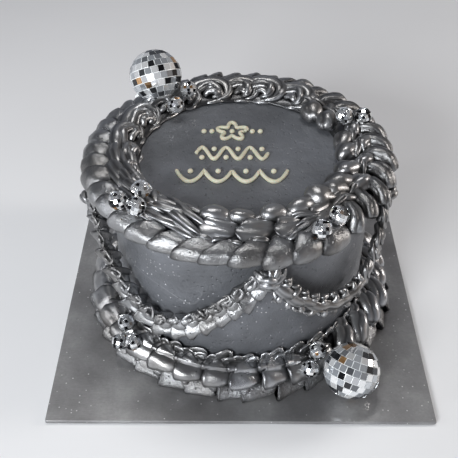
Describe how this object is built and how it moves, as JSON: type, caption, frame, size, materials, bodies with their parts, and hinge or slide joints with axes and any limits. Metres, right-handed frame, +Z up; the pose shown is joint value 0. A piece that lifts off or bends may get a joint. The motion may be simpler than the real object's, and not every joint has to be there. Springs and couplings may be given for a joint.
{
  "type": "iced layer cake on a board",
  "caption": "Round iced cake on a square foil board, with piped shell borders, hanging swags, mirror balls and faceted beads.",
  "frame": {"origin": "middle of the board's underside", "axes": "+Z up; -Y is the front, where two swags meet; +X is to the right seen from the front"},
  "size_m": [0.254, 0.254, 0.1632],
  "materials": {
    "foil_board": "brushed silver foil over card, soft reflections and small specks",
    "grey_icing": "smooth slate grey buttercream with a soft sheen, pits and specks; cream icing for the piped ornament",
    "silver_icing": "buttercream painted with edible silver, pewter shine with sharp highlights",
    "mirror_tiles": "small square mirror tiles with pale joints",
    "bead_chrome": "faceted silver plated bead"
  },
  "bodies": {
    "root": {"cake_board": "foil_board", "cake_body": "grey_icing", "top_border_inner": "silver_icing", "top_border_outer": "silver_icing", "bottom_border_feet": "silver_icing", "bottom_border_saddles": "silver_icing", "swag_1": "silver_icing", "swag_2": "silver_icing", "swag_3": "silver_icing", "swag_4": "silver_icing", "swag_5": "silver_icing", "swag_tie_1": "silver_icing", "swag_tie_2": "silver_icing", "swag_tie_3": "silver_icing", "swag_tie_4": "silver_icing", "swag_tie_5": "silver_icing", "mirror_ball_top": "mirror_tiles", "mirror_ball_board": "mirror_tiles", "bead_01": "bead_chrome", "bead_02": "bead_chrome", "bead_03": "bead_chrome", "bead_04": "bead_chrome", "bead_05": "bead_chrome", "bead_06": "bead_chrome", "bead_07": "bead_chrome", "bead_08": "bead_chrome", "bead_09": "bead_chrome", "bead_10": "bead_chrome", "bead_11": "bead_chrome", "bead_12": "bead_chrome", "bead_13": "bead_chrome", "bead_14": "bead_chrome"}
  },
  "joints": []
}
